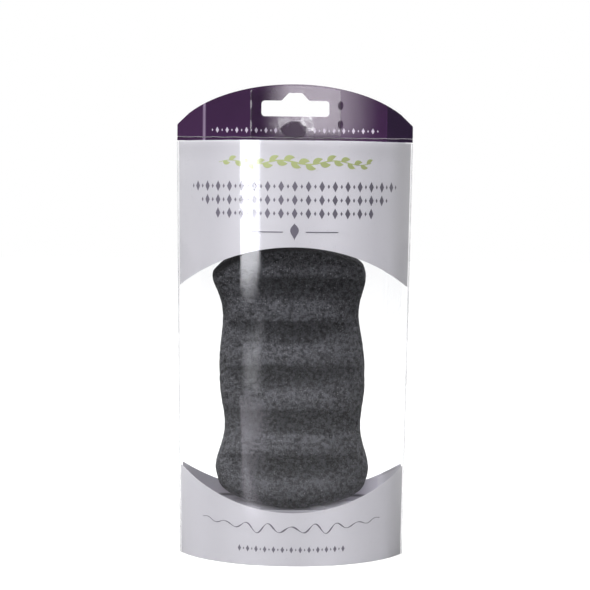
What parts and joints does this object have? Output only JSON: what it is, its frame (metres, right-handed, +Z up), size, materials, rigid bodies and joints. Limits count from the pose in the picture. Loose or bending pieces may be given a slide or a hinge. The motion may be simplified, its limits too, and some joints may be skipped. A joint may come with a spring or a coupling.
{
  "type": "konjac sponge",
  "caption": "Ridged charcoal-grey body sponge standing on a film platform inside a clear bow-fronted hanging pack with printed zones, tuck flaps and a hang slot.",
  "frame": {"origin": "middle of the pack's foot, on the surface that it stands on", "axes": "+Z up to the header's arch, +Y to the flat back, +X to the right seen from the front"},
  "size_m": [0.1128, 0.0358, 0.2261],
  "materials": {
    "konjac": "damp, grainy plant-fibre foam with pits and light specks",
    "loofah": "dry tangled plant fibre",
    "clear_film": "clear glossy film",
    "milky_film": "clear film with a thin pale print, so that it is half see-through",
    "glue": "clear glue",
    "purple_ink": "deep purple gloss print",
    "pale_ink": "pale lilac-grey gloss print",
    "grey_ink": "violet-grey print seen from its inner side"
  },
  "bodies": {
    "pack": {"back_panel": "clear_film", "front_panel": "clear_film", "side_flap": "clear_film", "seam_glue": "glue", "platform_deck": "milky_film", "platform_front_leg": "milky_film", "platform_rear_leg": "milky_film", "hang_tab": "clear_film", "glue_dot": "glue", "header_print": "purple_ink", "front_upper_print": "pale_ink", "front_lower_print": "pale_ink", "back_upper_print": "grey_ink", "back_lower_print": "grey_ink"},
    "sponge": {"konjac_block": "konjac", "loofah_pad": "loofah"},
    "top_closure": {"top_flap": "clear_film", "top_tuck_tab": "clear_film"},
    "bottom_closure": {"bottom_flap": "clear_film", "bottom_tuck_tab": "clear_film"}
  },
  "joints": [
    {"name": "sponge_lift", "type": "slide", "parent": "pack", "child": "sponge", "axis": [0, 0, 1], "range_m": [0, 0.034]},
    {"name": "top_flap_fold", "type": "hinge", "parent": "pack", "child": "top_closure", "pos_m": [0, 0.0172, 0.1978], "axis": [-1, 0, 0], "range_deg": [0, 75]},
    {"name": "bottom_flap_fold", "type": "hinge", "parent": "pack", "child": "bottom_closure", "pos_m": [0, 0.0172, 0], "axis": [1, 0, 0], "range_deg": [0, 80]}
  ]
}
